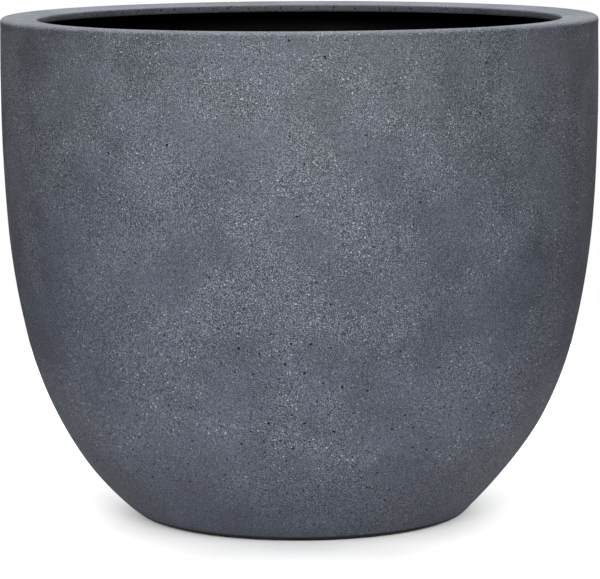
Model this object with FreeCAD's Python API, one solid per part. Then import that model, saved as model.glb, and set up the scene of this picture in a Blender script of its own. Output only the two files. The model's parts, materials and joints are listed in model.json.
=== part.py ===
import FreeCAD, Part
import math
import os

from FreeCAD import Vector

# A floor-standing azalea pot of fibre-stone: one hand-laid shell with a turned-in rim, a seal coat
# on its inside, a soft bung in its drain hole and stick-on pads under its foot.
# Millimetres, +Z up. The origin is on the floor, under the middle of the pot.

# Outside of the pot
RIM_DIAMETER = 500.0
POT_HEIGHT = 418.0
STRAIGHT_DEPTH = 66.0
BELLY_DIAMETER = 460.0
BELLY_HEIGHT = 150.0
BELLY_SLOPE = 14.0
FOOT_DIAMETER = 280.0
FOOT_ROUND = 3.0

# Turned-in rim: its top falls from the crest to the mouth, and the lip is its cut edge
MOUTH_DIAMETER = 436.0
CREST_ROUND = 5.0
RIM_FALL = 4.0
LIP_HEIGHT = 6.6
LIP_ROUND = 1.8
UNDER_RIM_ROUND = 12.0

# Laminate
WALL = 6.0
FLOOR_THICKNESS = 9.0
FLOOR_ROUND = 16.0

# Underside: the pot stands on a ring, and the middle is set back
FOOT_RING_WIDTH = 36.0
RECESS_DEPTH = 2.0
RECESS_FLARE = 3.0

# Drain hole
DRAIN_DIAMETER = 25.0
DRAIN_CHAMFER = 1.0

# Seal coat on the inside
COATING_THICKNESS = 1.0
BOND_LINE = 0.05
COATING_RIM_MARGIN = 6.0
COATING_DRAIN_MARGIN = 1.5

# Soft bung: a head that rests on the coated floor and a ribbed hollow stem in the drain hole
PLUG_CLEARANCE = 0.3
PLUG_HEAD_OVERLAP = 7.0
PLUG_HEAD_HEIGHT = 4.0
PLUG_HEAD_ROUND = 1.5
PLUG_DISH_RIM = 5.0
PLUG_DISH_DEPTH = 0.8
PLUG_RIB = 0.9
PLUG_RIB_COUNT = 2
PLUG_WALL = 3.5
PLUG_TIP = 1.5

# Stick-on pads
PAD_COUNT = 4
PAD_DIAMETER = 24.0
PAD_THICKNESS = 1.5
PAD_ROUND = 0.8
PAD_FIRST_ANGLE = 45.0

# Radii and levels that the pieces share
rim_radius = RIM_DIAMETER / 2
mouth_radius = MOUTH_DIAMETER / 2
foot_radius = FOOT_DIAMETER / 2
recess_radius = foot_radius - FOOT_RING_WIDTH
drain_radius = DRAIN_DIAMETER / 2
base_level = PAD_THICKNESS
recess_level = base_level + RECESS_DEPTH
floor_level = base_level + FLOOR_THICKNESS
coat_depth = BOND_LINE + COATING_THICKNESS
plug_seat_level = floor_level + coat_depth
rim_fall = math.radians(RIM_FALL)

AXIS_FOOT = Vector(0, 0, 0)
UP = Vector(0, 0, 1)
DOWN = Vector(0, 0, -1)


def at(radius, level):
    """Point of a half section, at a distance from the pot's axis and a height."""
    return Vector(radius, 0, level)


def unit(vector):
    """Same direction, length one."""
    return vector / vector.Length


def leaning(degrees):
    """Way down the outside where it leans in towards the axis."""
    angle = math.radians(degrees)
    return Vector(-math.sin(angle), 0, -math.cos(angle))


def straight(start, end):
    """Straight edge."""
    return Part.LineSegment(start, end).toShape()


def rounded(start, halfway, end):
    """Round edge through three points."""
    return Part.Arc(start, halfway, end).toShape()


def chain(points):
    """Straight edges from each point to the next."""
    return [straight(start, end) for start, end in zip(points, points[1:])]


def turned(edges):
    """Solid made by turning a closed half section about the pot's axis."""
    return Part.Face(Part.Wire(edges)).revolve(AXIS_FOOT, UP, 360)


def round_corner(before, corner, after, radius):
    """Start, middle and end of the round that takes off a corner."""
    back = unit(before - corner)
    ahead = unit(after - corner)
    half_angle = back.getAngle(ahead) / 2
    cut = radius / math.tan(half_angle)
    bisector = unit(back + ahead)
    centre = corner + bisector * (radius / math.sin(half_angle))
    return corner + back * cut, centre - bisector * radius, corner + ahead * cut


class Bend:
    """Round stretch of the pot's side, kept by its centre so that each face of the wall can follow it."""

    def __init__(self, start, heading, end):
        inward = Vector(heading.z, 0, -heading.x)
        chord = end - start
        self.start = start
        self.end = end
        self.radius = chord.dot(chord) / (2 * chord.dot(inward))
        self.centre = start + inward * self.radius

    def heading_at_end(self):
        """Way that the next stretch leaves in."""
        inward = (self.centre - self.end) / self.radius
        return Vector(-inward.z, 0, inward.x)

    def moved_in(self, point, depth):
        """Point of this stretch, moved towards the inside of the pot."""
        return self.centre + (point - self.centre) * ((self.radius - depth) / self.radius)

    def edge(self, depth, end=None):
        """The stretch moved in by a depth, whole or up to a point on it."""
        start = self.moved_in(self.start, depth)
        end = end or self.moved_in(self.end, depth)
        outward = unit((start + end) / 2 - self.centre)
        return rounded(start, self.centre + outward * abs(self.radius - depth), end)

    def landing(self, depth, level, radius):
        """Start, middle and end of the round from the stretch, moved in, to a level face."""
        reach = self.radius - depth
        rise = level + radius - self.centre.z
        run = math.copysign(math.sqrt((reach - radius) ** 2 - rise ** 2), reach)
        middle = self.centre + at(run, rise)
        on_bend = self.centre + (middle - self.centre) * (reach / (reach - radius))
        on_level = middle - UP * radius
        bisector = unit((on_bend - middle) + (on_level - middle))
        return on_bend, middle + bisector * radius, on_level


def meeting_point(start, heading, end, end_heading):
    """Point where two bends meet smoothly, between two points with given headings."""
    chord = end - start
    both = heading + end_heading
    spread = 2 * (1 - heading.dot(end_heading))
    along = chord.dot(both)
    reach = (math.sqrt(along ** 2 + spread * chord.dot(chord)) - along) / spread
    return (start + end + (heading - end_heading) * reach) / 2


def side_bends():
    """The three bends of the side: below the straight wall, down to the belly, and under to the foot."""
    top = at(rim_radius, POT_HEIGHT - STRAIGHT_DEPTH)
    belly = at(BELLY_DIAMETER / 2, BELLY_HEIGHT)
    belly_heading = leaning(BELLY_SLOPE)
    middle = meeting_point(top, DOWN, belly, belly_heading)
    upper = Bend(top, DOWN, middle)
    lower = Bend(middle, upper.heading_at_end(), belly)
    under = Bend(belly, belly_heading, at(foot_radius, base_level))
    return [upper, lower, under]


SIDE = side_bends()


def wall_face(top_level, depth, level, radius):
    """One face of the wall, from a level on the straight part down to where it lands on a level face."""
    upper, lower, under = SIDE
    on_bend, halfway, on_level = under.landing(depth, level, radius)
    edges = [
        straight(at(rim_radius - depth, top_level), upper.moved_in(upper.start, depth)),
        upper.edge(depth),
        lower.edge(depth),
        under.edge(depth, on_bend),
        rounded(on_bend, halfway, on_level),
    ]
    return edges, on_level


def rim_top_at(radius):
    """Point on the falling top of the rim."""
    start = at(rim_radius - CREST_ROUND, POT_HEIGHT - CREST_ROUND)
    touch = start + at(-math.sin(rim_fall), math.cos(rim_fall)) * CREST_ROUND
    return at(radius, touch.z - (touch.x - radius) * math.tan(rim_fall)), touch


def under_rim_at(radius, depth):
    """Point under the rim, which runs parallel to its top, moved into the pot by a depth."""
    lip_top, _ = rim_top_at(mouth_radius)
    fall = (radius - mouth_radius) * math.tan(rim_fall)
    return at(radius, lip_top.z - LIP_HEIGHT - depth / math.cos(rim_fall) + fall)


def cavity_face(depth, first_radius, last_radius):
    """The inside of the pot moved in by a depth, from under the rim to the drain hole."""
    wall_depth = WALL + depth
    first = under_rim_at(first_radius, depth)
    corner = under_rim_at(rim_radius - wall_depth, depth)
    start, halfway, end = round_corner(first, corner, corner + DOWN, UNDER_RIM_ROUND - depth)
    wall, on_floor = wall_face(end.z, wall_depth, floor_level + depth, FLOOR_ROUND - depth)
    last = at(last_radius, floor_level + depth)
    edges = [straight(first, start), rounded(start, halfway, end)] + wall + [straight(on_floor, last)]
    return edges, first, last


def pot_shell():
    """The laminate: straight wall, belly, foot ring, floor with its drain hole, and turned-in rim."""
    crest_start = at(rim_radius, POT_HEIGHT - CREST_ROUND)
    crest_centre = at(rim_radius - CREST_ROUND, POT_HEIGHT - CREST_ROUND)
    lip_top, crest_end = rim_top_at(mouth_radius)
    crest_half = crest_centre + unit(crest_start + crest_end - crest_centre * 2) * CREST_ROUND
    lip_bottom = under_rim_at(mouth_radius, 0)
    lip_middle = (lip_top + lip_bottom) / 2
    upper_round = round_corner(crest_end, lip_top, lip_middle, LIP_ROUND)
    lower_round = round_corner(lip_middle, lip_bottom, under_rim_at(rim_radius - WALL, 0), LIP_ROUND)
    rim = [
        rounded(crest_start, crest_half, crest_end),
        straight(crest_end, upper_round[0]),
        rounded(*upper_round),
        straight(upper_round[2], lower_round[0]),
        rounded(*lower_round),
    ]
    cavity, _, drain_edge = cavity_face(0, lower_round[2].x, drain_radius)
    outside, on_base = wall_face(crest_start.z, 0, base_level, FOOT_ROUND)
    underside = chain([
        drain_edge,
        at(drain_radius, recess_level + DRAIN_CHAMFER),
        at(drain_radius + DRAIN_CHAMFER, recess_level),
        at(recess_radius - RECESS_FLARE, recess_level),
        at(recess_radius, base_level),
        on_base,
    ])
    return turned(rim + cavity + underside + outside[::-1])


def inner_coating():
    """The seal coat: an even skin on the whole inside, from under the rim to the drain hole."""
    first_radius = mouth_radius + COATING_RIM_MARGIN
    last_radius = drain_radius + COATING_DRAIN_MARGIN
    bonded, bonded_first, bonded_last = cavity_face(BOND_LINE, first_radius, last_radius)
    wet, wet_first, wet_last = cavity_face(coat_depth, first_radius, last_radius)
    drain_end = straight(bonded_last, wet_last)
    rim_end = straight(wet_first, bonded_first)
    return turned(bonded + [drain_end] + wet[::-1] + [rim_end])


def drain_plug():
    """The bung: a dished head on the coated floor, and a hollow stem with sealing ribs."""
    head_radius = drain_radius + PLUG_HEAD_OVERLAP
    head_level = plug_seat_level + PLUG_HEAD_HEIGHT
    dish_radius = head_radius - PLUG_DISH_RIM
    dish_level = head_level - PLUG_DISH_DEPTH
    rib_radius = drain_radius - PLUG_CLEARANCE
    stem_radius = rib_radius - PLUG_RIB
    hollow_radius = stem_radius - PLUG_WALL
    tip_level = recess_level - PLUG_TIP
    rib_step = (plug_seat_level - tip_level) / (PLUG_RIB_COUNT + 1)
    head_round = round_corner(
        at(dish_radius, head_level),
        at(head_radius, head_level),
        at(head_radius, plug_seat_level),
        PLUG_HEAD_ROUND,
    )
    edges = chain([
        at(0, plug_seat_level),
        at(0, dish_level),
        at(dish_radius - PLUG_DISH_DEPTH, dish_level),
        at(dish_radius, head_level),
        head_round[0],
    ])
    edges.append(rounded(*head_round))
    stem_point = at(stem_radius, plug_seat_level)
    edges += chain([head_round[2], at(head_radius, plug_seat_level), stem_point])
    for number in range(PLUG_RIB_COUNT):
        rib_level = plug_seat_level - rib_step * (number + 1)
        rib_start = at(stem_radius, rib_level + PLUG_RIB)
        rib_end = at(stem_radius, rib_level - PLUG_RIB)
        edges.append(straight(stem_point, rib_start))
        edges.append(rounded(rib_start, at(rib_radius, rib_level), rib_end))
        stem_point = rib_end
    edges += chain([
        stem_point,
        at(stem_radius, tip_level),
        at(hollow_radius, tip_level),
        at(hollow_radius, plug_seat_level),
        at(0, plug_seat_level),
    ])
    return turned(edges)


def foot_pad(number):
    """One pad, stuck to the middle of the foot ring."""
    radius = PAD_DIAMETER / 2
    edge_round = round_corner(at(0, 0), at(radius, 0), at(radius, PAD_THICKNESS), PAD_ROUND)
    edges = chain([at(0, PAD_THICKNESS), at(0, 0), edge_round[0]])
    edges.append(rounded(*edge_round))
    edges += chain([edge_round[2], at(radius, PAD_THICKNESS), at(0, PAD_THICKNESS)])
    pad = turned(edges)
    pad.translate(at(foot_radius - FOOT_RING_WIDTH / 2, 0))
    pad.rotate(AXIS_FOOT, UP, PAD_FIRST_ANGLE + number * 360 / PAD_COUNT)
    return pad


pieces = {
    "pot_shell": pot_shell(),
    "inner_coating": inner_coating(),
    "drain_plug": drain_plug(),
}
for pad_number in range(PAD_COUNT):
    pieces[f"foot_pad_{pad_number + 1}"] = foot_pad(pad_number)

os.makedirs("parts", exist_ok=True)
for node, shape in pieces.items():
    shape.exportStep(f"parts/{node}.step")
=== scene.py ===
"""Azalea pot: a pitted fibre-stone shell with a seal coat, a drain bung and foot pads, in a white studio."""

import json
import logging
import math
import random
from dataclasses import dataclass
from enum import Enum
from functools import cache, cached_property
from typing import Any, Iterable

import bmesh
import bpy
from bmesh.types import BMesh, BMEdge, BMFace, BMVert
from mathutils import Matrix, Vector, noise


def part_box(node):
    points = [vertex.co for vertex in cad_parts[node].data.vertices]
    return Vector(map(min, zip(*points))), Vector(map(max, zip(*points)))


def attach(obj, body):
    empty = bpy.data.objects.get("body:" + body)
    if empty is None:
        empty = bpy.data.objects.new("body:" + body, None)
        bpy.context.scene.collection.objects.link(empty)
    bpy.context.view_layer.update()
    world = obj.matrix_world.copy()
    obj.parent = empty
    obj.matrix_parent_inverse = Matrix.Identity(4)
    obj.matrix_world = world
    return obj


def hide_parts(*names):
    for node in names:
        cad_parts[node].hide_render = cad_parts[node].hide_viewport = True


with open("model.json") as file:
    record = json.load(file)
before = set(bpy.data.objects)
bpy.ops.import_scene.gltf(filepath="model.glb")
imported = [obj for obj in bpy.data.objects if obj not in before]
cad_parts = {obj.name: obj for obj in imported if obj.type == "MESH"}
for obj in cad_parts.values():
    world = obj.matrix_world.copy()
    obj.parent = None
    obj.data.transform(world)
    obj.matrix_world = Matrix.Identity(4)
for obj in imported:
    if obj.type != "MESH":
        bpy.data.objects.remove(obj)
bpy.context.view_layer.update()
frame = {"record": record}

LOG = logging.getLogger("azalea_pot")
MM = 0.001
TURN = 2 * math.pi
WELD = 0.01 * MM
# Layer of painted shade inside the pits.
PIT_SHADE_LAYER = "pit"
# Layer of painted shade on the lip face.
LIP_SHADE_LAYER = "cut_edge"
RUB_LAYER = "rubbed_edge"
UP = Vector((0.0, 0.0, 1.0))
DOWN = Vector((0.0, 0.0, -1.0))

Colour = tuple[float, float, float, float]
Span = tuple[float, float]
Fade = tuple[float, float, float, float]


class Body(str, Enum):
    """Bodies of the frame that the pieces ride on."""

    POT = "pot"
    BUNG = "drain_plug"


class Slot(str, Enum):
    """Material slots of the record."""

    STONE = "fibre_stone"
    SEAL = "seal_coat"
    BUNG = "bung_rubber"
    PAD = "pad_rubber"


class Zone(Enum):
    """Parts of the shell's surface that are worked differently."""

    WALL = "outside wall"
    CREST = "top of the rim"
    LIP = "cut edge of the rim"
    HIDDEN = "inside and underside"


def at(radius: float, level: float) -> Vector:
    """Point of a half section, in the XZ plane, at a distance from the pot's axis and a height."""
    return Vector((radius, 0.0, level))


def unit_noise(place: Vector) -> float:
    """Smooth noise at a place, between nought and one."""
    return min(1.0, max(0.0, 0.5 + 0.5 * noise.noise(place)))


def smooth_step(value: float, low: float, high: float) -> float:
    """Eased share, from nought to one, of a value's way from low to high."""
    share = min(1.0, max(0.0, (value - low) / (high - low)))
    return share * share * (3 - 2 * share)


def radial(point: Vector) -> Vector:
    """Level direction from the pot's axis to a point, of length one."""
    return Vector((point.x, point.y, 0.0)).normalized()


class SectionPen:
    """Draws a half section in the XZ plane and turns it about the pot's axis."""

    def __init__(self, start: Vector) -> None:
        self.mesh: BMesh = bmesh.new()
        self.tip: BMVert = self.mesh.verts.new(start)

    def line(self, end: Vector, spacing: float) -> None:
        """Draws a straight stretch.

        Args:
            end: Where the stretch ends.
            spacing: Wanted distance between its points.
        """
        start = self.tip.co.copy()
        count = max(1, round((end - start).length / spacing))
        for number in range(count):
            made = bmesh.ops.extrude_vert_indiv(self.mesh, verts=[self.tip])
            self.tip = made["verts"][0]
            self.tip.co = start.lerp(end, (number + 1) / count)

    def arc(self, centre: Vector, end: Vector, spacing: float) -> None:
        """Draws a round stretch, the short way about its centre.

        Args:
            centre: Middle of the round.
            end: Where the stretch ends.
            spacing: Wanted distance between its points.
        """
        spoke = self.tip.co - centre
        last = end - centre
        sweep = math.atan2(last.z, last.x) - math.atan2(spoke.z, spoke.x)
        sweep = (sweep + math.pi) % TURN - math.pi
        count = max(2, round(abs(sweep) * spoke.length / spacing))
        made = bmesh.ops.spin(
            self.mesh, geom=[self.tip], cent=centre, axis=(0, -1, 0), angle=sweep, steps=count
        )
        self.tip = next(item for item in made["geom_last"] if isinstance(item, BMVert))

    def corner(self, corner: Vector, after: Vector, radius: float, spacing: float) -> None:
        """Draws a straight stretch to a corner and the round that takes the corner off.

        Args:
            corner: The sharp corner.
            after: A point on the next stretch.
            radius: Radius of the round.
            spacing: Wanted distance between points.
        """
        back = (self.tip.co - corner).normalized()
        ahead = (after - corner).normalized()
        half = back.angle(ahead) / 2
        cut = radius / math.tan(half)
        centre = corner + (back + ahead).normalized() * (radius / math.sin(half))
        self.line(corner + back * cut, spacing)
        self.arc(centre, corner + ahead * cut, min(spacing, radius * 0.5))

    def turned(self, columns: int) -> BMesh:
        """Turns the section into a closed surface.

        Args:
            columns: Number of steps in the full turn.

        Returns:
            The mesh, with its normals outwards.
        """
        section = self.mesh.verts[:] + self.mesh.edges[:]
        bmesh.ops.spin(
            self.mesh, geom=section, axis=UP, cent=(0, 0, 0), angle=TURN, steps=columns, use_merge=True
        )
        bmesh.ops.remove_doubles(self.mesh, verts=self.mesh.verts, dist=WELD)
        bmesh.ops.recalc_face_normals(self.mesh, faces=self.mesh.faces)
        self.mesh.normal_update()
        return self.mesh


def placed(mesh: BMesh, name: str, body: Body, nodes: Iterable[str]) -> bpy.types.Object:
    """Turns a mesh into a piece of the object.

    Args:
        mesh: The finished mesh, in the shared frame.
        name: Name of the piece.
        body: Body that the piece rides on.
        nodes: CAD nodes that the piece stands for.

    Returns:
        The new piece.
    """
    for face in mesh.faces:
        face.smooth = True
    data = bpy.data.meshes.new(name)
    mesh.to_mesh(data)
    mesh.free()
    piece = bpy.data.objects.new(name, data)
    bpy.context.scene.collection.objects.link(piece)
    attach(piece, body.value)
    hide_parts(*nodes)
    LOG.info("%s: %d faces, rides on %s", name, len(data.polygons), body.value)
    return piece


@dataclass(frozen=True)
class Bend:
    """Round stretch of the pot's side, kept by its centre so that each face of the wall can follow it."""

    start: Vector
    end: Vector
    centre: Vector
    radius: float

    @classmethod
    def leaving(cls, start: Vector, heading: Vector, end: Vector) -> "Bend":
        """Bend that leaves a point in a given direction.

        Args:
            start: First point.
            heading: Direction at the first point.
            end: Last point.

        Returns:
            The bend.
        """
        inward = Vector((heading.z, 0.0, -heading.x))
        chord = end - start
        radius = chord.dot(chord) / (2 * chord.dot(inward))
        return cls(start, end, start + inward * radius, radius)

    def heading_at_end(self) -> Vector:
        """Direction in which the next stretch leaves, of length one."""
        inward = (self.centre - self.end) / self.radius
        return Vector((-inward.z, 0.0, inward.x))

    def moved_in(self, point: Vector, depth: float) -> Vector:
        """Point of this stretch, moved by a depth towards the inside of the pot."""
        return self.centre + (point - self.centre) * ((self.radius - depth) / self.radius)

    def landing(self, depth: float, level: float, radius: float) -> tuple[Vector, Vector, Vector]:
        """Round from the stretch, moved in, to a level face.

        Args:
            depth: How far the stretch is moved in.
            level: Height of the level face.
            radius: Radius of the round.

        Returns:
            Start, centre and end of the round.
        """
        reach = self.radius - depth
        rise = level + radius - self.centre.z
        run = math.sqrt((reach - radius) ** 2 - rise ** 2)
        middle = self.centre + at(run, rise)
        on_bend = self.centre + (middle - self.centre) * (reach / (reach - radius))
        return on_bend, middle, middle + DOWN * radius


@dataclass(frozen=True)
class PotSection:
    """Half section that the shell and the seal coat share. Sizes in metres."""

    rim_radius: float
    height: float
    mouth_radius: float
    base_level: float
    straight_depth: float = 66 * MM
    belly_radius: float = 230 * MM
    belly_height: float = 150 * MM
    belly_slope: float = math.radians(14)
    foot_radius: float = 140 * MM
    foot_round: float = 3 * MM
    crest_round: float = 5 * MM
    rim_fall: float = math.radians(4)
    lip_height: float = 6.6 * MM
    lip_round: float = 1.8 * MM
    under_rim_round: float = 12 * MM
    wall: float = 6 * MM
    floor_thickness: float = 9 * MM
    floor_round: float = 16 * MM
    foot_ring_width: float = 36 * MM
    recess_depth: float = 2 * MM
    recess_flare: float = 3 * MM
    drain_radius: float = 12.5 * MM
    drain_chamfer: float = 1 * MM

    @classmethod
    def from_frame(cls) -> "PotSection":
        """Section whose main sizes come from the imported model.

        Returns:
            The section.
        """
        low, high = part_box("pot_shell")
        mouth = next(mount for mount in frame["record"]["mounts"] if mount["name"] == "mouth")
        return cls(min(high.x, high.y), high.z, mouth["dims"]["r_mm"] * MM, low.z)

    @cached_property
    def floor_level(self) -> float:
        """Height of the bare floor inside."""
        return self.base_level + self.floor_thickness

    @cached_property
    def recess_level(self) -> float:
        """Height of the set-back middle of the underside."""
        return self.base_level + self.recess_depth

    @cached_property
    def crest_centre(self) -> Vector:
        """Centre of the round on the outer edge of the rim."""
        return at(self.rim_radius - self.crest_round, self.height - self.crest_round)

    @cached_property
    def crest_end(self) -> Vector:
        """Where the round of the crest meets the falling top of the rim."""
        return self.crest_centre + at(-math.sin(self.rim_fall), math.cos(self.rim_fall)) * self.crest_round

    @cached_property
    def lip_top(self) -> Vector:
        """Sharp upper corner of the lip."""
        fall = (self.crest_end.x - self.mouth_radius) * math.tan(self.rim_fall)
        return at(self.mouth_radius, self.crest_end.z - fall)

    def under_rim(self, radius: float, depth: float) -> Vector:
        """Point under the rim, which runs parallel to its top, moved by a depth into the pot."""
        rise = (radius - self.mouth_radius) * math.tan(self.rim_fall)
        return at(radius, self.lip_top.z - self.lip_height - depth / math.cos(self.rim_fall) + rise)

    def side(self) -> tuple[Bend, Bend, Bend]:
        """The bends below the straight wall, down to the belly, and under to the foot.

        Returns:
            The three bends, from the top down.
        """
        top = at(self.rim_radius, self.height - self.straight_depth)
        belly = at(self.belly_radius, self.belly_height)
        lean = at(-math.sin(self.belly_slope), -math.cos(self.belly_slope))
        chord = belly - top
        spread = 2 * (1 - DOWN.dot(lean))
        along = chord.dot(DOWN + lean)
        reach = (math.sqrt(along ** 2 + spread * chord.dot(chord)) - along) / spread
        middle = (top + belly + (DOWN - lean) * reach) / 2
        upper = Bend.leaving(top, DOWN, middle)
        lower = Bend.leaving(middle, upper.heading_at_end(), belly)
        return upper, lower, Bend.leaving(belly, lean, at(self.foot_radius, self.base_level))

    def draw_cavity(self, pen: SectionPen, depth: float, last_radius: float, spacing: float) -> None:
        """Draws the inside, moved in by a depth, from under the rim to the drain hole.

        Args:
            pen: Pen whose tip is under the rim.
            depth: How far the face is moved into the pot.
            last_radius: Where it ends, on the floor.
            spacing: Wanted distance between points.
        """
        bends = self.side()
        wall_depth = self.wall + depth
        corner = self.under_rim(self.rim_radius - wall_depth, depth)
        pen.corner(corner, corner + DOWN, self.under_rim_round - depth, spacing)
        pen.line(bends[0].moved_in(bends[0].start, wall_depth), spacing)
        landing = bends[2].landing(wall_depth, self.floor_level + depth, self.floor_round - depth)
        for bend in bends[:2]:
            pen.arc(bend.centre, bend.moved_in(bend.end, wall_depth), spacing)
        pen.arc(bends[2].centre, landing[0], spacing)
        pen.arc(landing[1], landing[2], spacing * 0.5)
        pen.line(at(last_radius, self.floor_level + depth), spacing)

    def draw_outside(self, pen: SectionPen, spacing: float) -> None:
        """Draws the outside from the foot ring up to the crest.

        Args:
            pen: Pen whose tip is on the foot ring.
            spacing: Wanted distance between points.
        """
        upper, lower, under = self.side()
        on_bend, middle, on_base = under.landing(0.0, self.base_level, self.foot_round)
        pen.line(on_base, spacing * 2)
        pen.arc(middle, on_bend, self.foot_round * 0.25)
        pen.arc(under.centre, under.start, spacing)
        pen.arc(lower.centre, lower.start, spacing)
        pen.arc(upper.centre, upper.start, spacing)
        pen.line(at(self.rim_radius, self.crest_centre.z), spacing)


class SubAssembly:
    """One piece of the pot, or a set of like pieces."""

    def build(self) -> list[bpy.types.Object]:
        """Makes the pieces."""
        raise NotImplementedError

    def dress(self, pieces: list[bpy.types.Object], finish: "Finish") -> None:
        """Puts one finish on the pieces.

        Args:
            pieces: What was built.
            finish: Their finish.
        """
        material = finish.material()
        for piece in pieces:
            piece.data.materials.append(material)


@dataclass(frozen=True)
class PitKind:
    """One size of hole that trapped air leaves in the cast face."""

    radius: float
    depth: float
    on_wall: int
    on_crest: int
    on_lip: int


PIN_HOLE = PitKind(0.75 * MM, 1.0 * MM, 620, 14, 60)
AIR_HOLE = PitKind(1.0 * MM, 1.4 * MM, 560, 4, 60)
BUBBLE = PitKind(1.3 * MM, 1.9 * MM, 120, 0, 0)


@dataclass
class PitCarver:
    """Sinks ragged holes into single faces of a mesh and marks their insides with painted shade for the
    finish.
    """

    seed: int = 11
    room: float = 1.85 * MM
    raggedness: float = 0.22
    stretch: float = 0.22
    lead_in: float = 0.4
    taper: float = 0.45
    sides: int = 8
    level_face: float = 0.9
    # Each step: share of the depth, and the darkness of the painted shade it leaves in the pit.
    steps: tuple[Span, ...] = ((0.55, 0.9), (0.45, 1.0))

    def carve(self, mesh: BMesh, faces: list[BMFace], kind: PitKind) -> None:
        """Sinks one hole into each face.

        Args:
            mesh: The mesh that holds the faces.
            faces: Four-sided faces, no two of which touch.
            kind: Size of the holes.
        """
        layer = mesh.verts.layers.float[PIT_SHADE_LAYER]
        chance = random.Random(self.seed + len(faces))
        seats = [(face.calc_center_median(), face.normal.copy()) for face in faces]
        bmesh.ops.inset_individual(mesh, faces=faces, thickness=kind.radius * self.lead_in)
        for face, (centre, normal) in zip(faces, seats):
            for edge in face.edges[:]:
                bmesh.utils.edge_split(edge, edge.verts[0], 0.5)
            self.round_off(face, centre, normal, kind.radius, chance)
        for share, darkness in self.steps:
            bmesh.ops.inset_individual(
                mesh, faces=faces, thickness=kind.radius * share * self.taper, depth=-kind.depth * share
            )
            for face in faces:
                for corner in face.verts:
                    # darkness here is painted shade for the inside of the hole
                    corner[layer] = darkness

    def round_off(
        self, face: BMFace, centre: Vector, normal: Vector, radius: float, chance: random.Random
    ) -> None:
        """Moves the corners of a face onto a slightly ragged circle.

        Args:
            face: Face with eight corners.
            centre: Middle of the face before it was worked.
            normal: Its normal.
            radius: Radius of the circle.
            chance: Source of the irregularity.
        """
        across = UP.cross(normal).normalized() if abs(normal.z) < self.level_face else radial(centre)
        along = normal.cross(across)
        drift = max(0.0, self.room - radius * (1 + self.raggedness))
        middle = centre + across * chance.uniform(-1, 1) * drift
        middle += along * chance.uniform(-1, 1) * drift
        stretch = 1 + chance.uniform(-1, 1) * self.stretch
        eighth = TURN / self.sides
        steps: dict[int, BMVert] = {}
        for corner in face.verts:
            spoke = corner.co - centre
            steps[round(math.atan2(spoke.dot(along), spoke.dot(across)) / eighth) % self.sides] = corner
        for step in sorted(steps):
            angle = step * eighth
            reach = radius * (1 + chance.uniform(-1, 1) * self.raggedness)
            spoke = across * math.cos(angle) * stretch + along * math.sin(angle) / stretch
            steps[step].co = middle + spoke * reach
        for edge in face.edges:
            edge.smooth = False


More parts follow.
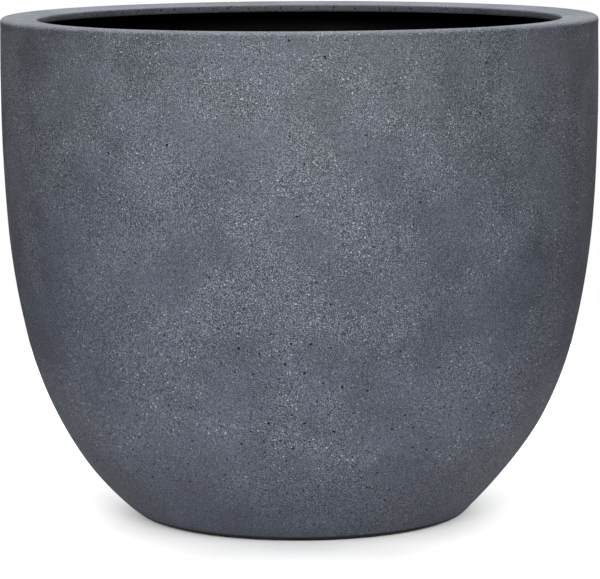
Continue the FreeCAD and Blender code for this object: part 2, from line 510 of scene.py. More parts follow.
@dataclass
class PotShell(SubAssembly):
    """The fibre-stone laminate: wall, belly, foot ring, floor and turned-in rim."""

    section: PotSection
    columns: int = 288
    outer_spacing: float = 4 * MM
    inner_spacing: float = 14 * MM
    swell: float = 0.4 * MM
    swell_scale: float = 6.0
    ripple: float = 0.14 * MM
    ripple_scale: float = 34.0
    lean: float = 0.6 * MM
    lean_depth: float = 48 * MM
    bulge: float = 0.45 * MM
    bulge_level: float = 60 * MM
    slump: float = 1.9 * MM
    slump_level: float = 32 * MM
    shrink: float = 0.85 * MM
    widest: Span = (0.08, 0.2)
    base_fade: float = 12 * MM
    slump_fade: float = 8 * MM
    crest_calm: float = 0.8
    bulge_spread: float = 0.7
    slump_spread: float = 1.1
    crest_room: float = 0.05 * MM
    chipping: float = 0.5 * MM
    chip_scale: float = 260.0
    pit_seed: int = 5
    pit_crowd: float = 0.9
    pit_face: float = 10 * MM * MM
    pit_tries: int = 60
    pit_rise: Span = (0.02, 0.1)
    pit_fall: Span = (0.28, 0.5)
    stray: float = 0.05
    cluster_scale: float = 24.0
    cluster_span: Span = (0.45, 0.7)
    lip_facing: float = -0.6
    crest_facing: float = 0.8
    wall_facing: float = 0.3
    lip_reach: float = 0.5 * MM

    def build(self) -> list[bpy.types.Object]:
        """Makes the shell.

        Returns:
            Its one piece.
        """
        mesh = self.draw().turned(self.columns)
        mesh.verts.layers.float.new(PIT_SHADE_LAYER)
        mesh.verts.layers.float.new(LIP_SHADE_LAYER)
        mesh.verts.layers.float.new(RUB_LAYER)
        self.lay_by_hand(mesh)
        self.sink_pits(mesh)
        mesh.normal_update()
        return [placed(mesh, "pot_shell_stone", Body.POT, ["pot_shell"])]

    def draw(self) -> SectionPen:
        """Draws the closed half section, from the drain hole out, up and round the rim.

        Returns:
            The pen with the section.
        """
        plan = self.section
        ring_edge = plan.foot_radius - plan.foot_ring_width
        pen = SectionPen(at(plan.drain_radius, plan.floor_level))
        for point in (
            at(plan.drain_radius, plan.recess_level + plan.drain_chamfer),
            at(plan.drain_radius + plan.drain_chamfer, plan.recess_level),
            at(ring_edge - plan.recess_flare, plan.recess_level),
            at(ring_edge, plan.base_level),
        ):
            pen.line(point, self.inner_spacing)
        plan.draw_outside(pen, self.outer_spacing)
        pen.arc(plan.crest_centre, plan.crest_end, plan.crest_round * 0.25)
        lip_bottom = plan.under_rim(plan.mouth_radius, 0.0)
        pen.corner(plan.lip_top, lip_bottom, plan.lip_round, self.outer_spacing)
        inward = plan.under_rim(plan.rim_radius, 0.0)
        pen.corner(lip_bottom, inward, plan.lip_round, self.outer_spacing * 0.5)
        plan.draw_cavity(pen, 0.0, plan.drain_radius, self.inner_spacing)
        return pen

    def zone(self, place: Vector, normal: Vector) -> Zone:
        """Which part of the surface a place belongs to.

        Args:
            place: A point of the surface.
            normal: The surface's normal there.

        Returns:
            The zone.
        """
        plan = self.section
        outward = normal.dot(radial(place))
        if outward < self.lip_facing and place.z > plan.under_rim(plan.mouth_radius, 0.0).z:
            edge = Vector((place.x, place.y)).length < plan.mouth_radius + self.lip_reach
            return Zone.LIP if edge else Zone.HIDDEN
        if place.z > plan.lip_top.z - plan.crest_round and normal.z > self.crest_facing:
            return Zone.CREST
        if outward > self.wall_facing and place.z > plan.base_level + plan.foot_round:
            return Zone.WALL
        return Zone.HIDDEN

    def lay_by_hand(self, mesh: BMesh) -> None:
        """Gives the faces the unevenness of a hand-laid mould, and marks the lip face for painted shade and
        the crest.

        Args:
            mesh: The turned shell.
        """
        plan = self.section
        cut = mesh.verts.layers.float[LIP_SHADE_LAYER]
        rub = mesh.verts.layers.float[RUB_LAYER]
        moves: list[tuple[BMVert, Vector]] = []
        for corner in mesh.verts:
            zone = self.zone(corner.co, corner.normal)
            if zone is Zone.HIDDEN:
                continue
            if zone is Zone.LIP:
                depth = self.chipping * unit_noise(corner.co * self.chip_scale)
                moves.append((corner, corner.normal * -depth))
                # marks the lip face for painted shade
                corner[cut] = 1.0
                continue
            if zone is Zone.CREST:
                corner[rub] = 1.0
            level = corner.co.z
            uneven = self.swell * noise.noise(corner.co * self.swell_scale)
            uneven += self.ripple * noise.noise(corner.co * self.ripple_scale)
            uneven *= 1 - self.crest_calm * corner.normal.z if zone is Zone.CREST else 1.0
            uneven -= self.shrink * smooth_step(level, *self.widest) * (1 - abs(corner.normal.z))
            uneven *= smooth_step(level, plan.base_level, plan.base_level + self.base_fade)
            leaning = smooth_step(level, plan.height - self.lean_depth, plan.height)
            uneven -= self.lean * leaning * (1 - corner.normal.z)
            full = math.exp(-((level - self.bulge_level) / self.bulge_level / self.bulge_spread) ** 2)
            move = corner.normal * uneven + radial(corner.co) * self.bulge * full
            sunk = math.exp(-((level - self.slump_level) / self.slump_level / self.slump_spread) ** 2)
            settling = smooth_step(level, plan.base_level, plan.base_level + self.slump_fade)
            move.x -= self.slump * sunk * settling
            move.z = min(move.z, plan.height - self.crest_room - level)
            moves.append((corner, move))
        for corner, move in moves:
            corner.co += move

    def sink_pits(self, mesh: BMesh) -> None:
        """Scatters holes over the wall, the crest and the lip, most of them low on the wall.

        Args:
            mesh: The laid shell.
        """
        mesh.normal_update()
        mesh.verts.index_update()
        chance = random.Random(self.pit_seed)
        free: dict[Zone, list[BMFace]] = {zone: [] for zone in Zone}
        for face in sorted(mesh.faces, key=self.rank):
            if len(face.verts) == 4 and face.calc_area() > self.pit_face:
                free[self.zone(face.calc_center_median(), face.normal)].append(face)
        taken: set[BMVert] = set()
        carver = PitCarver()
        for kind in (BUBBLE, AIR_HOLE, PIN_HOLE):
            chosen: list[BMFace] = []
            for zone, wanted in (
                (Zone.WALL, kind.on_wall), (Zone.CREST, kind.on_crest), (Zone.LIP, kind.on_lip)
            ):
                chosen += self.pick(free[zone], zone, wanted, taken, chance)
            carver.carve(mesh, chosen, kind)
            LOG.info("%d holes of %.2f mm radius", len(chosen), kind.radius / MM)

    @staticmethod
    def rank(face: BMFace) -> list[int]:
        """Place of a face in an order that is the same in every run, by its corners."""
        return sorted(corner.index for corner in face.verts)

    def pick(
        self, faces: list[BMFace], zone: Zone, wanted: int, taken: set[BMVert], chance: random.Random
    ) -> list[BMFace]:
        """Picks faces for holes so that no two of them touch.

        Args:
            faces: Faces to pick from.
            zone: Zone that they belong to.
            wanted: How many to pick.
            taken: Corners that are spoken for; grows.
            chance: Source of the scatter.

        Returns:
            The picked faces.
        """
        picked: list[BMFace] = []
        tries = wanted * self.pit_tries
        while faces and len(picked) < wanted and tries > 0:
            tries -= 1
            face = chance.choice(faces)
            if any(corner in taken for corner in face.verts):
                continue
            if zone is Zone.WALL and chance.random() > self.crowding(face.calc_center_median()):
                continue
            picked.append(face)
            for corner in face.verts:
                taken.update(other for edge in corner.link_edges for other in edge.verts)
        return picked

    def crowding(self, place: Vector) -> float:
        """How likely a hole is at a place on the wall.

        Args:
            place: Middle of a face.

        Returns:
            A chance between nought and one.
        """
        share = place.z / self.section.height
        low = smooth_step(share, *self.pit_rise) * (1 - smooth_step(share, *self.pit_fall))
        cluster = smooth_step(unit_noise(place * self.cluster_scale + UP), *self.cluster_span)
        return (self.stray + (1 - self.stray) * low) * (1 - self.pit_crowd + self.pit_crowd * cluster)


@dataclass
class SealCoat(SubAssembly):
    """Brushed seal coat on the whole inside, from under the rim to the drain hole."""

    section: PotSection
    thickness: float = 1 * MM
    bond_line: float = 0.05 * MM
    rim_margin: float = 6 * MM
    drain_margin: float = 1.5 * MM
    columns: int = 160
    spacing: float = 4 * MM
    back_spacing: float = 12 * MM
    wet_facing: float = 0.2
    brush_depth: float = 0.5 * MM
    brush_length: float = 3.0
    brush_scale: float = 150.0

    @property
    def depth(self) -> float:
        """Depth of its wet face, from the bare inside."""
        return self.bond_line + self.thickness

    def build(self) -> list[bpy.types.Object]:
        """Makes the coat.

        Returns:
            Its one piece.
        """
        plan = self.section
        first = plan.mouth_radius + self.rim_margin
        last = plan.drain_radius + self.drain_margin
        pen = SectionPen(plan.under_rim(first, self.bond_line))
        plan.draw_cavity(pen, self.bond_line, last, self.back_spacing)
        pen.line(at(last, plan.floor_level + self.depth), self.spacing)
        back = SectionPen(plan.under_rim(first, self.depth))
        plan.draw_cavity(back, self.depth, last, self.spacing)
        wet_points = [corner.co.copy() for corner in back.mesh.verts]
        back.mesh.free()
        for point in reversed(wet_points[:-1]):
            pen.line(point, plan.height)
        pen.line(plan.under_rim(first, self.bond_line), self.spacing)
        mesh = pen.turned(self.columns)
        self.brush(mesh)
        return [placed(mesh, "inner_coating_skin", Body.POT, ["inner_coating"])]

    def brush(self, mesh: BMesh) -> None:
        """Leaves the level marks of a brush on the wet face.

        Args:
            mesh: The turned coat.
        """
        plan = self.section
        for corner in mesh.verts:
            reach = Vector((corner.co.x, corner.co.y)).length
            if corner.normal.dot(radial(corner.co)) > self.wet_facing or reach < plan.drain_radius * 2:
                continue
            if corner.normal.z < -self.wet_facing:
                continue
            if reach < plan.mouth_radius and corner.co.z > plan.height / 2:
                continue
            around = radial(corner.co) * self.brush_length
            stroke = unit_noise(around + UP * ((corner.co.z - reach) * self.brush_scale))
            corner.co += corner.normal * (stroke - 0.5) * self.brush_depth


@dataclass
class DrainBung(SubAssembly):
    """Soft bung: a dished head on the coated floor and a hollow stem with sealing ribs."""

    section: PotSection
    seat: float
    clearance: float = 0.3 * MM
    head_overlap: float = 7 * MM
    head_height: float = 4 * MM
    head_round: float = 1.5 * MM
    dish_rim: float = 5 * MM
    dish_depth: float = 0.8 * MM
    rib: float = 0.9 * MM
    rib_count: int = 2
    stem_wall: float = 3.5 * MM
    tip: float = 1.5 * MM
    button_radius: float = 4 * MM
    button_height: float = 0.5 * MM
    button_round: float = 0.4 * MM
    columns: int = 96
    spacing: float = 1.5 * MM
    dish_spacing: float = 0.45 * MM
    rib_spacing: float = 0.27 * MM

    def build(self) -> list[bpy.types.Object]:
        """Makes the bung.

        Returns:
            Its one piece.
        """
        plan = self.section
        head = plan.drain_radius + self.head_overlap
        top = self.seat + self.head_height
        dish = head - self.dish_rim
        floor = top - self.dish_depth
        rib_reach = plan.drain_radius - self.clearance
        stem = rib_reach - self.rib
        hollow = stem - self.stem_wall
        tip = plan.recess_level - self.tip
        step = (self.seat - tip) / (self.rib_count + 1)
        pen = SectionPen(at(0.0, floor + self.button_height))
        pen.corner(
            at(self.button_radius, floor + self.button_height), at(self.button_radius, floor),
            self.button_round, self.spacing,
        )
        pen.line(at(self.button_radius, floor), self.spacing)
        pen.line(at(dish - self.dish_depth, floor), self.spacing)
        pen.line(at(dish, top), self.dish_spacing)
        pen.corner(at(head, top), at(head, self.seat), self.head_round, self.spacing)
        pen.line(at(head, self.seat), self.spacing)
        pen.line(at(stem, self.seat), self.spacing)
        for number in range(self.rib_count):
            level = self.seat - step * (number + 1)
            pen.line(at(stem, level + self.rib), self.spacing)
            pen.arc(at(stem, level), at(rib_reach, level), self.rib_spacing)
            pen.arc(at(stem, level), at(stem, level - self.rib), self.rib_spacing)
        for point in (at(stem, tip), at(hollow, tip), at(hollow, self.seat), at(0.0, self.seat)):
            pen.line(point, self.spacing)
        mesh = pen.turned(self.columns)
        return [placed(mesh, "drain_plug_bung", Body.BUNG, ["drain_plug"])]


@dataclass
class FootPads(SubAssembly):
    """Stick-on pads under the foot ring."""

    node_names: tuple[str, ...] = ("foot_pad_1", "foot_pad_2", "foot_pad_3", "foot_pad_4")
    edge_round: float = 0.8 * MM
    round_steps: int = 4
    rim_width: float = 3 * MM
    hollow_depth: float = 0.35 * MM
    columns: int = 72

    def build(self) -> list[bpy.types.Object]:
        """Makes every pad, each as a piece of its own."""
        return [self.pad(node) for node in self.node_names]

    def pad(self, node: str) -> bpy.types.Object:
        """Makes one pad where the frame has it.

        Args:
            node: CAD node of the pad.

        Returns:
            The pad's piece.
        """
        low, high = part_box(node)
        middle = (low + high) / 2
        size = high - low
        radius = min(size.x, size.y) / 2
        mesh = bmesh.new()
        bmesh.ops.create_cone(
            mesh, cap_ends=True, segments=self.columns, radius1=radius, radius2=radius, depth=size.z,
            matrix=Matrix.Translation(middle),
        )
        mesh.normal_update()
        sole = [face for face in mesh.faces if face.normal.z < -0.9]
        rim: list[BMEdge] = [edge for face in sole for edge in face.edges]
        bmesh.ops.bevel(
            mesh, geom=rim, offset=self.edge_round, offset_type="OFFSET", segments=self.round_steps,
            profile=0.5, affect="EDGES", material=-1,
        )
        mesh.normal_update()
        sole = [face for face in mesh.faces if face.normal.z < -0.999]
        bmesh.ops.inset_region(mesh, faces=sole, thickness=self.rim_width)
        bmesh.ops.inset_region(mesh, faces=sole, thickness=self.hollow_depth, depth=-self.hollow_depth)
        bmesh.ops.recalc_face_normals(mesh, faces=mesh.faces)
        return placed(mesh, f"{node}_rubber", Body.POT, [node])


class NodeBench:
    """Adds and links the nodes of one material, group or world."""

    def __init__(self, tree: bpy.types.NodeTree) -> None:
        self.tree = tree

    def add(self, kind: str, inputs: dict[Any, Any] | None = None, **settings: Any) -> bpy.types.Node:
        """Adds a node.

        Args:
            kind: Type of the node.
            inputs: Values or sockets for its inputs.
            **settings: Properties of the node.

        Returns:
            The node.
        """
        made = self.tree.nodes.new(kind)
        for name, value in settings.items():
            setattr(made, name, value)
        self.feed(made, inputs or {})
        return made

    def feed(self, node: bpy.types.Node, inputs: dict[Any, Any]) -> None:
        """Gives inputs of a node their values, or links them.

        Args:
            node: The node.
            inputs: Values, or outputs to link, by the input's name or number.
        """
        for key, value in inputs.items():
            if isinstance(value, bpy.types.NodeSocket):
                self.tree.links.new(value, node.inputs[key])
            else:
                node.inputs[key].default_value = value

    def effect(self, tree: bpy.types.NodeTree, place: bpy.types.NodeSocket, **values: Any) -> Any:
        """Adds a shared effect.

        Args:
            tree: The effect's group.
            place: Coordinates.
            **values: The group's other inputs, with underscores for spaces.

        Returns:
            The outputs of the group's node.
        """
        inputs = {label.replace("_", " "): value for label, value in values.items()}
        return self.add("ShaderNodeGroup", {"Vector": place, **inputs}, node_tree=tree).outputs

    def math(self, operation: str, first: Any, second: Any) -> bpy.types.NodeSocket:
        """Result of a calculation with two values or sockets."""
        return self.add("ShaderNodeMath", {0: first, 1: second}, operation=operation).outputs[0]

    def times(self, first: Any, *others: Any) -> Any:
        """Multiplies values or sockets.

        Args:
            first: The first of them.
            *others: The rest.

        Returns:
            Their product.
        """
        for other in others:
            first = self.math("MULTIPLY", first, other)
        return first

    def span(
        self, value: Any, low: Any, high: Any, to_low: Any = 0.0, to_high: Any = 1.0
    ) -> bpy.types.NodeSocket:
        """Value eased from one range to another."""
        inputs = {"Value": value, "From Min": low, "From Max": high, "To Min": to_low, "To Max": to_high}
        return self.add("ShaderNodeMapRange", inputs, interpolation_type="SMOOTHSTEP").outputs["Result"]

    def blend(self, share: Any, first: Any, second: Any) -> bpy.types.NodeSocket:
        """Mix of two colours, by the share of the second."""
        inputs = {"Factor": share, 6: first, 7: second}
        return self.add("ShaderNodeMix", inputs, data_type="RGBA").outputs[2]

    def mark(self, layer: str) -> bpy.types.NodeSocket:
        """Value that the mesh keeps in a layer."""
        return self.add("ShaderNodeAttribute", attribute_name=layer).outputs["Fac"]

    def bump(self, height: Any, strength: float, distance: float) -> bpy.types.NodeSocket:
        """Normal of a fine relief."""
        inputs = {"Strength": strength, "Distance": distance, "Height": height}
        return self.add("ShaderNodeBump", inputs).outputs[0]


class Effect:
    """Node groups that more than one finish uses, each built once."""

    GRAIN_RAMP = 0.18
    DOT_CORE = 0.6

    @staticmethod
    def group(name: str, inputs: dict[str, float], outputs: Iterable[str]) -> tuple[NodeBench, Any, Any]:
        """Starts a group with a vector input.

        Args:
            name: Name of the group.
            inputs: Its number inputs and their values.
            outputs: Its number outputs.

        Returns:
            The group's bench, what is given to it, and its output node.
        """
        tree = bpy.data.node_groups.new(name, "ShaderNodeTree")
        tree.interface.new_socket("Vector", in_out="INPUT", socket_type="NodeSocketVector")
        for label, value in inputs.items():
            socket = tree.interface.new_socket(label, in_out="INPUT", socket_type="NodeSocketFloat")
            socket.default_value = value
        for label in outputs:
            tree.interface.new_socket(label, in_out="OUTPUT", socket_type="NodeSocketFloat")
        bench = NodeBench(tree)
        return bench, bench.add("NodeGroupInput").outputs, bench.add("NodeGroupOutput")

    @staticmethod
    @cache
    def clouds() -> bpy.types.NodeTree:
        """Soft patches.

        Returns:
            The group.
        """
        inputs = {"Scale": 8.0, "Detail": 3.0, "From": 0.35, "To": 0.65}
        bench, given, result = Effect.group("soft_patches", inputs, ["Mask"])
        fed = {label: given[label] for label in ("Vector", "Scale", "Detail")}
        cloud = bench.add("ShaderNodeTexNoise", fed).outputs[0]
        bench.feed(result, {"Mask": bench.span(cloud, given["From"], given["To"])})
        return bench.tree

    @staticmethod
    @cache
    def grains() -> bpy.types.NodeTree:
        """Packed grains, some of them light and some dark.

        Returns:
            The group.
        """
        inputs = {"Scale": 600.0, "Light From": 0.54, "Dark From": 0.46}
        bench, given, result = Effect.group("packed_grains", inputs, ["Light", "Dark", "Height"])
        fed = {"Vector": given["Vector"], "Scale": given["Scale"], "Detail": 0.0}
        field = bench.add("ShaderNodeTexNoise", fed).outputs[0]
        light_full = bench.math("ADD", given["Light From"], Effect.GRAIN_RAMP)
        dark_full = bench.math("SUBTRACT", given["Dark From"], Effect.GRAIN_RAMP)
        light = bench.span(field, given["Light From"], light_full)
        dark = bench.span(field, given["Dark From"], dark_full)
        bench.feed(result, {"Light": light, "Dark": dark, "Height": field})
        return bench.tree

    @staticmethod
    @cache
    def dots() -> bpy.types.NodeTree:
        """Far-apart round dots.

        Returns:
            The group.
        """
        inputs = {"Scale": 90.0, "Size": 0.08, "Share": 0.5}
        bench, given, result = Effect.group("far_dots", inputs, ["Mask"])
        fed = {"Vector": given["Vector"], "Scale": given["Scale"]}
        cells = bench.add("ShaderNodeTexVoronoi", fed).outputs
        lot = bench.add("ShaderNodeSeparateColor", {0: cells["Color"]}).outputs[2]
        core = bench.times(given["Size"], Effect.DOT_CORE)
        spot = bench.span(cells["Distance"], given["Size"], core)
        chosen = bench.math("LESS_THAN", lot, given["Share"])
        bench.feed(result, {"Mask": bench.times(spot, chosen)})
        return bench.tree


@dataclass(frozen=True)
class Finish:
    """Start of every finish: a fresh material with its bench, its surface shader and its coordinates."""

    name: str

    def material(self) -> bpy.types.Material:
        """Makes the finish."""
        raise NotImplementedError

    def start(self) -> tuple[bpy.types.Material, NodeBench, bpy.types.Node, bpy.types.NodeSocket]:
        """Starts the material.

        Returns:
            The material, its bench, its surface shader and the object coordinates.
        """
        material = bpy.data.materials.new(self.name)
        material.use_nodes = True
        material.node_tree.nodes.clear()
        bench = NodeBench(material.node_tree)
        shader = bench.add("ShaderNodeBsdfPrincipled")
        bench.add("ShaderNodeOutputMaterial", {"Surface": shader.outputs[0]})
        return material, bench, shader, bench.add("ShaderNodeTexCoord").outputs["Object"]


@dataclass(frozen=True)
class FibreStone(Finish):
    """Slate-grey cast face: cloudy, gritty and pitted, with painted shade in the pits, the pores, a low
    band, the lip face and along the foot, and painted glints among the light specks. A fade is two heights
    and the strength at each.
    """

    deep: Colour = (0.064, 0.075, 0.121, 1.0)
    pale: Colour = (0.125, 0.145, 0.212, 1.0)
    deep_warm: Colour = (0.086, 0.094, 0.110, 1.0)
    pale_warm: Colour = (0.170, 0.185, 0.216, 1.0)
    # grit_and_glint: light grains and scuffs, and painted glints in the specks
    grit_and_glint: Colour = (0.60, 0.65, 0.76, 1.0)
    soot_and_shade: Colour = (0.026, 0.028, 0.035, 1.0)
    # soot_and_shade: dark grains, and painted shade on the low band and the lip face
    fleck: Colour = (0.80, 0.85, 0.93, 1.0)
    # hole: near-black of painted shade, in the pits, the pores and along the foot
    hole: Colour = (0.008, 0.008, 0.009, 1.0)
    cloud_shift: tuple[float, float, float] = (12.01, 16.98, 8.46)
    wide_share: float = 0.35
    near_share: float = 0.65
    grain_light: float = 0.56
    grain_dark: float = 0.7
    coarse_light: float = 0.03
    coarse_dark: float = 0.05
    coarse_relief: float = 0.6
    pore_relief: float = 0.8
    scuff_share: float = 0.2
    # painted shade on the lip face
    lip_shade_share: float = 0.64
    # painted shade inside the pits
    pit_shade_share: float = 0.95
    crest_grain: float = 0.35
    least_grain: float = 0.7
    least_specks: float = 0.4
    warm_fade: Fade = (0.14, 0.40, 0.0, 0.8)
    foot_fade: Fade = (0.01, 0.05, 0.7, 1.0)
    top_fade: Fade = (0.36, 0.40, 1.0, 0.8)
    fleck_size: Fade = (0.10, 0.20, 0.25, 0.20)
    fleck_fade: Fade = (0.03, 0.08, 0.2, 1.0)
    pore_fade: Fade = (0.11, 0.19, 1.0, 0.6)
    # band of painted shade low on the wall, where it turns under
    low_shade_rise: Span = (0.012, 0.035)
    low_shade_fade: Fade = (0.05, 0.095, 0.22, 0.0)
    # painted contact shadow: near-black along the foot's edge and the underside
    foot_shadow_fade: Fade = (3.4 * MM, 4.6 * MM, 0.96, 0.0)
    roughness: Span = (0.6, 0.74)

    def material(self) -> bpy.types.Material:
        """Makes the finish.

        Returns:
            The material.
        """
        material, bench, shader, place = self.start()
        level = bench.add("ShaderNodeSeparateXYZ", {0: place}).outputs["Z"]
        near = bench.effect(Effect.clouds(), place, Scale=24.0, Detail=2.0, From=0.34, To=0.66)[0]
        gritty = bench.effect(Effect.clouds(), place, Scale=17.0, Detail=2.0, From=0.34, To=0.62)[0]
        grain = bench.effect(Effect.grains(), place, Scale=1600.0, Light_From=0.50, Dark_From=0.50)
        coarse = bench.effect(Effect.grains(), place, Scale=270.0, Light_From=0.60, Dark_From=0.36)
        # specks: light dots, partly real grit and partly painted glints of lit grains
        specks = bench.effect(Effect.dots(), place, Scale=1050.0, Size=0.45, Share=0.34)[0]
        size = bench.span(level, *self.fleck_size)
        flecks = bench.effect(Effect.dots(), place, Scale=270.0, Size=size, Share=0.26)[0]
        # pores: small dents whose black is painted shade for holes too small to build
        pores = bench.effect(Effect.dots(), place, Scale=300.0, Size=0.28, Share=0.44)[0]

        crest = bench.span(bench.mark(RUB_LAYER), 0.0, 1.0, 1.0, self.crest_grain)
        bare = bench.times(bench.span(level, *self.foot_fade), crest, bench.span(level, *self.top_fade))
        grainy = bench.times(bench.span(gritty, 0.0, 1.0, self.least_grain, 1.0), bare)
        rough_patch = bench.span(gritty, 0.0, 1.0, self.least_specks, 1.0)
        sown = bench.times(rough_patch, bare)
        porous = bench.times(pores, rough_patch, bench.span(level, *self.pore_fade))
        # low_shade: painted shade, a darker band low on the wall
        low_shade = bench.times(bench.span(level, *self.low_shade_rise), bench.span(level, *self.low_shade_fade))
        layers = (
            (bench.times(grain["Light"], grainy, self.grain_light), self.grit_and_glint),
            (bench.times(grain["Dark"], grainy, self.grain_dark), self.soot_and_shade),
            (bench.times(specks, sown), self.grit_and_glint),
            (bench.times(coarse["Light"], self.coarse_light), self.grit_and_glint),
            (bench.times(coarse["Dark"], self.coarse_dark), self.soot_and_shade),
            (bench.times(self.scuffs(bench, place), self.scuff_share), self.grit_and_glint),
            (bench.times(flecks, bench.span(level, *self.fleck_fade), sown), self.fleck),
            # The next five layers are painted shade: pores, a low band, the lip face, the line at the foot
            # and the pit insides.
            (porous, self.hole),
            (low_shade, self.soot_and_shade),
            (bench.times(bench.mark(LIP_SHADE_LAYER), self.lip_shade_share), self.soot_and_shade),
            (bench.span(level, *self.foot_shadow_fade), self.hole),
            (bench.times(bench.mark(PIT_SHADE_LAYER), self.pit_shade_share), self.hole),
        )
        colour = self.tone(bench, place, level, near)
        for mask, paint in layers:
            colour = bench.blend(mask, colour, paint)

        relief = bench.math("ADD", grain["Height"], bench.times(coarse["Height"], self.coarse_relief))
        relief = bench.math("SUBTRACT", relief, bench.times(porous, self.pore_relief))
        bench.feed(shader, {
            "Base Color": colour,
            "Roughness": bench.span(near, 0.0, 1.0, *self.roughness),
            "Normal": bench.bump(relief, 0.7, 0.6 * MM),
            "Specular IOR Level": 1.0,
        })
        return material

    def tone(
        self, bench: NodeBench, place: bpy.types.NodeSocket, level: bpy.types.NodeSocket,
        near: bpy.types.NodeSocket,
    ) -> bpy.types.NodeSocket:
        """Cloudy ground tone, cool below and warmer above.

        Args:
            bench: The material's bench.
            place: Coordinates.
            level: Height above the floor.
            near: Mask of the small clouds.

        Returns:
            The colour.
        """
        shifted = bench.add("ShaderNodeMapping", {0: place, "Location": self.cloud_shift}).outputs[0]
        wide = bench.effect(Effect.clouds(), shifted, Scale=6.0, Detail=3.0, From=0.66, To=0.34)[0]
        cloud = bench.math("ADD", bench.times(wide, self.wide_share), bench.times(near, self.near_share))
        cool = bench.blend(cloud, self.deep, self.pale)
        warm = bench.blend(cloud, self.deep_warm, self.pale_warm)
        return bench.blend(bench.span(level, *self.warm_fade), cool, warm)

    def scuffs(self, bench: NodeBench, place: bpy.types.NodeSocket) -> bpy.types.NodeSocket:
        """Short curling scuffs in a few patches.

        Args:
            bench: The material's bench.
            place: Coordinates.

        Returns:
            Their mask.
        """
        course = bench.add("ShaderNodeTexNoise", {"Vector": place, "Scale": 95.0, "Detail": 0.5})
        off = bench.math("ABSOLUTE", bench.math("SUBTRACT", course.outputs[0], 0.5), 0.0)
        line = bench.span(off, 0.014, 0.006)
        patch = bench.add("ShaderNodeTexNoise", {"Vector": place, "Scale": 21.0, "Detail": 2.0})
        return bench.times(line, bench.span(patch.outputs[0], 0.64, 0.72))


@dataclass(frozen=True)
class SealFinish(Finish):
    """Black seal coat with brush streaks, dull patches and a little dust; its black is darker than real
    paint, partly painted shade for the deep inside.
    """

    # black and worn: the coat's own black, made darker than paint as painted shade for the inside of the pot
    black: Colour = (0.0012, 0.0012, 0.0013, 1.0)
    worn: Colour = (0.0025, 0.0025, 0.0027, 1.0)
    dust: Colour = (0.02, 0.019, 0.018, 1.0)
    dustiness: float = 0.5
    streak_scale: tuple[float, float, float] = (3.0, 3.0, 260.0)
    roughness: Span = (0.5, 0.72)

    def material(self) -> bpy.types.Material:
        """Makes the finish.

        Returns:
            The material.
        """
        material, bench, shader, place = self.start()
        patches = bench.effect(Effect.clouds(), place, Scale=14.0, Detail=4.0, From=0.38, To=0.66)[0]
        specks = bench.effect(Effect.dots(), place, Scale=170.0, Size=0.09, Share=0.35)[0]
        flat = bench.add("ShaderNodeMapping", {0: place, "Scale": self.streak_scale}).outputs[0]
        streak = bench.add("ShaderNodeTexNoise", {"Vector": flat, "Scale": 1.0, "Detail": 3.0})
        colour = bench.blend(patches, self.black, self.worn)
        bench.feed(shader, {
            "Base Color": bench.blend(bench.times(specks, self.dustiness), colour, self.dust),
            "Roughness": bench.span(patches, 0.0, 1.0, *self.roughness),
            "Normal": bench.bump(streak.outputs[0], 0.4, 0.3 * MM),
            "Specular IOR Level": 0.08,
        })
        return material


@dataclass(frozen=True)
class MouldedRubber(Finish):
    """Matt black rubber with a fine moulded grain and a film of dust."""

    black: Colour = (0.014, 0.014, 0.015, 1.0)
    grey: Colour = (0.03, 0.03, 0.031, 1.0)
    dust: Colour = (0.1, 0.097, 0.09, 1.0)
    dustiness: float = 0.3
    grain_share: float = 0.3
    roughness: Span = (0.6, 0.82)

    def material(self) -> bpy.types.Material:
        """Makes the finish.

        Returns:
            The material.
        """
        material, bench, shader, place = self.start()
        patches = bench.effect(Effect.clouds(), place, Scale=90.0, Detail=4.0, From=0.36, To=0.66)[0]
        grain = bench.effect(Effect.grains(), place, Scale=1100.0, Light_From=0.55, Dark_From=0.4)
        specks = bench.effect(Effect.dots(), place, Scale=380.0, Size=0.12, Share=0.4)[0]
        colour = bench.blend(patches, self.black, self.grey)
        colour = bench.blend(bench.times(grain["Light"], self.grain_share), colour, self.grey)
        bench.feed(shader, {
            "Base Color": bench.blend(bench.times(specks, self.dustiness), colour, self.dust),
            "Roughness": bench.span(patches, 0.0, 1.0, *self.roughness),
            "Normal": bench.bump(grain["Height"], 0.35, 0.1 * MM),
        })
        return material


@dataclass(frozen=True)
class StudioFloor(Finish):
    """Plain white floor with a trace of unevenness, which throws less light on the pot than it shows."""

    white: Colour = (0.80, 0.80, 0.80, 1.0)
    shade: Colour = (0.79, 0.79, 0.79, 1.0)
    bounce: Colour = (0.30, 0.30, 0.30, 1.0)
    far_bounce: Colour = (0.06, 0.06, 0.06, 1.0)
    bounce_reach: Span = (0.3, 0.6)

    def material(self) -> bpy.types.Material:
        """Makes the finish.

        Returns:
            The material.
        """
        material, bench, shader, place = self.start()
        patches = bench.effect(Effect.clouds(), place, Scale=3.0, Detail=2.0, From=0.3, To=0.7)[0]
        colour = bench.blend(patches, self.white, self.shade)
        bench.feed(shader, {"Base Color": colour, "Roughness": 0.9, "Specular IOR Level": 0.1})
        seen = bench.add("ShaderNodeLightPath").outputs["Is Camera Ray"]
        reach = bench.add("ShaderNodeVectorMath", {0: place}, operation="LENGTH").outputs["Value"]
        glow = bench.blend(bench.span(reach, *self.bounce_reach), self.bounce, self.far_bounce)
        dim = bench.add("ShaderNodeBsdfDiffuse", {"Color": glow})
        mixed = bench.add("ShaderNodeMixShader", {0: seen, 1: dim.outputs[0], 2: shader.outputs[0]})
        output = next(node for node in bench.tree.nodes if node.type == "OUTPUT_MATERIAL")
        bench.feed(output, {"Surface": mixed.outputs[0]})
        return material


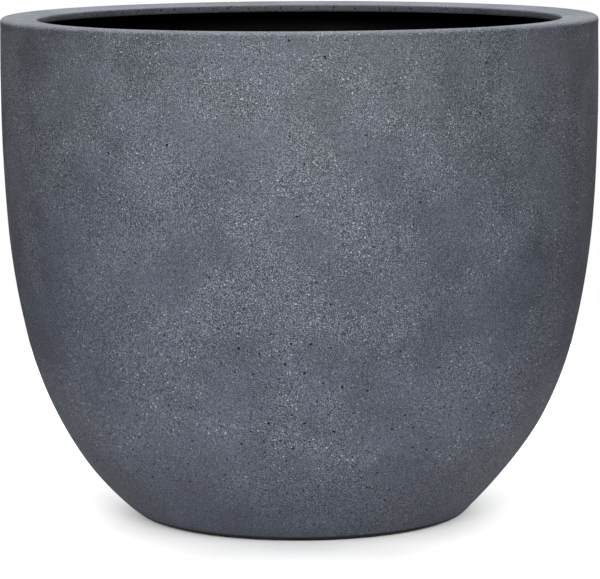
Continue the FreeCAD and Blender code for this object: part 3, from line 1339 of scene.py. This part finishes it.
@dataclass(frozen=True)
class SoftBox:
    """Square studio light aimed at a point."""

    name: str
    azimuth: float
    elevation: float
    distance: float
    size: float
    power: float
    aim: float = 0.2

    def build(self) -> bpy.types.Object:
        """Makes the light.

        Returns:
            The light.
        """
        lamp = bpy.data.lights.new(self.name, "AREA")
        lamp.size = self.size
        lamp.energy = self.power
        light = bpy.data.objects.new(self.name, lamp)
        turn = math.radians(self.azimuth)
        rise = math.radians(self.elevation)
        away = Vector((math.sin(turn) * math.cos(rise), -math.cos(turn) * math.cos(rise), math.sin(rise)))
        light.location = UP * self.aim + away * self.distance
        light.rotation_euler = away.to_track_quat("Z", "Y").to_euler()
        bpy.context.scene.collection.objects.link(light)
        return light


@dataclass(frozen=True)
class FarLight:
    """Far soft light. Angles in degrees."""

    name: str
    strength: float
    width: float
    lean: float
    azimuth: float = 0.0

    def build(self) -> bpy.types.Object:
        """Makes the light, which leans from overhead towards its azimuth.

        Returns:
            The light.
        """
        lamp = bpy.data.lights.new(self.name, "SUN")
        lamp.energy = self.strength
        lamp.angle = math.radians(self.width)
        light = bpy.data.objects.new(self.name, lamp)
        light.rotation_euler = (math.radians(self.lean), 0.0, math.radians(self.azimuth))
        bpy.context.scene.collection.objects.link(light)
        return light


@dataclass
class Studio:
    """White floor, soft lights for the pot and for the floor, and the camera."""

    key: SoftBox = SoftBox("key_light", -1.5, 30.0, 3.0, 1.0, 60.0)
    back_left: SoftBox = SoftBox("back_left_light", -145.0, 25.0, 2.6, 1.2, 9.0)
    back_right: SoftBox = SoftBox("back_right_light", 145.0, 25.0, 2.6, 1.2, 13.0)
    rim: FarLight = FarLight("rim_light", 3.1, 40.0, -18.0)
    floor_lights: tuple[FarLight, ...] = (
        FarLight("floor_front", 1.75, 25.0, 55.0),
        FarLight("floor_front_left", 1.55, 30.0, 62.0, -50.0),
        FarLight("floor_front_right", 1.55, 30.0, 62.0, 50.0),
        FarLight("floor_left", 1.9, 30.0, 64.0, -105.0),
        FarLight("floor_right", 1.9, 30.0, 64.0, 105.0),
        FarLight("floor_back_left", 2.6, 40.0, 45.0, -140.0),
        FarLight("floor_back_right", 2.6, 40.0, 45.0, 140.0),
    )
    floor_size: float = 1.8
    sight: float = 50.0
    camera_place: Vector = Vector((-0.0006, -2.696, 0.5560))
    pitch: float = math.radians(7.803)
    roll: float = math.radians(-0.29)
    focal_pixels: float = 3222.0
    image_width: float = 600.0
    sensor: float = 36.0
    ambient: float = 0.01
    backdrop: float = 1.0
    sheen: float = 0.03

    def build(self, pieces: list[bpy.types.Object]) -> None:
        """Makes the whole studio.

        Args:
            pieces: The pot's pieces, which the lights on the pot alone fall on.
        """
        floor = self.lay_floor()
        pot_lights = (self.key, self.rim, self.back_left, self.back_right)
        self.shine("lit_pot", pieces, [light.build() for light in pot_lights])
        self.shine("lit_floor", [floor], [light.build() for light in self.floor_lights])
        self.paint_world()
        self.set_camera()
        bpy.context.scene.view_settings.view_transform = "Standard"

    def shine(self, name: str, things: list[bpy.types.Object], lights: list[bpy.types.Object]) -> None:
        """Keeps some lights to some things.

        Args:
            name: Name of the group.
            things: What the lights fall on.
            lights: The lights.
        """
        group = bpy.data.collections.new(name)
        for thing in things:
            group.objects.link(thing)
        for light in lights:
            light.light_linking.receiver_collection = group

    def lay_floor(self) -> bpy.types.Object:
        """Lays the floor.

        Returns:
            The floor.
        """
        mesh = bmesh.new()
        bmesh.ops.create_grid(mesh, x_segments=1, y_segments=1, size=self.floor_size / 2)
        data = bpy.data.meshes.new("studio_floor")
        mesh.to_mesh(data)
        mesh.free()
        floor = bpy.data.objects.new("studio_floor", data)
        floor.data.materials.append(StudioFloor("studio_white").material())
        bpy.context.scene.collection.objects.link(floor)
        return floor

    def paint_world(self) -> None:
        """Paints the white surroundings, dimmer for the light that they cast than for the eye."""
        world = bpy.data.worlds.new("studio_white_room")
        world.use_nodes = True
        world.node_tree.nodes.clear()
        bench = NodeBench(world.node_tree)
        dim = bench.add("ShaderNodeBackground", {"Color": (1, 1, 1, 1), "Strength": self.ambient})
        bright = bench.add("ShaderNodeBackground", {"Color": (1, 1, 1, 1), "Strength": self.backdrop})
        path = bench.add("ShaderNodeLightPath")
        gloss = bench.times(path.outputs["Is Glossy Ray"], self.sheen)
        share = bench.math("MAXIMUM", path.outputs["Is Camera Ray"], gloss)
        mixed = bench.add("ShaderNodeMixShader", {0: share, 1: dim.outputs[0], 2: bright.outputs[0]})
        bench.add("ShaderNodeOutputWorld", {"Surface": mixed.outputs[0]})
        bpy.context.scene.world = world

    def set_camera(self) -> None:
        """Sets the camera up in front of the pot, a little above its rim."""
        lens = bpy.data.cameras.new("studio_camera")
        lens.sensor_width = self.sensor
        lens.lens = self.focal_pixels * self.sensor / self.image_width
        lens.clip_end = self.sight
        camera = bpy.data.objects.new("studio_camera", lens)
        tilt = Matrix.Rotation(math.pi / 2 - self.pitch, 4, "X") @ Matrix.Rotation(self.roll, 4, "Z")
        camera.matrix_world = Matrix.Translation(self.camera_place) @ tilt
        bpy.context.scene.collection.objects.link(camera)
        bpy.context.scene.camera = camera


def main() -> None:
    """Builds the pot and its studio."""
    logging.basicConfig(level=logging.INFO, format="%(name)s: %(message)s")
    section = PotSection.from_frame()
    coat = SealCoat(section)
    bung = DrainBung(section, section.floor_level + coat.depth)
    work: tuple[tuple[SubAssembly, Finish], ...] = (
        (PotShell(section), FibreStone("pitted_fibre_stone")),
        (coat, SealFinish("brushed_seal_coat")),
        (bung, MouldedRubber("dusty_bung_rubber")),
        (FootPads(), MouldedRubber("clean_pad_rubber", dustiness=0.15)),
    )
    pieces: list[bpy.types.Object] = []
    for assembly, finish in work:
        made = assembly.build()
        assembly.dress(made, finish)
        pieces += made
    Studio().build(pieces)


if __name__ == "__main__":
    main()
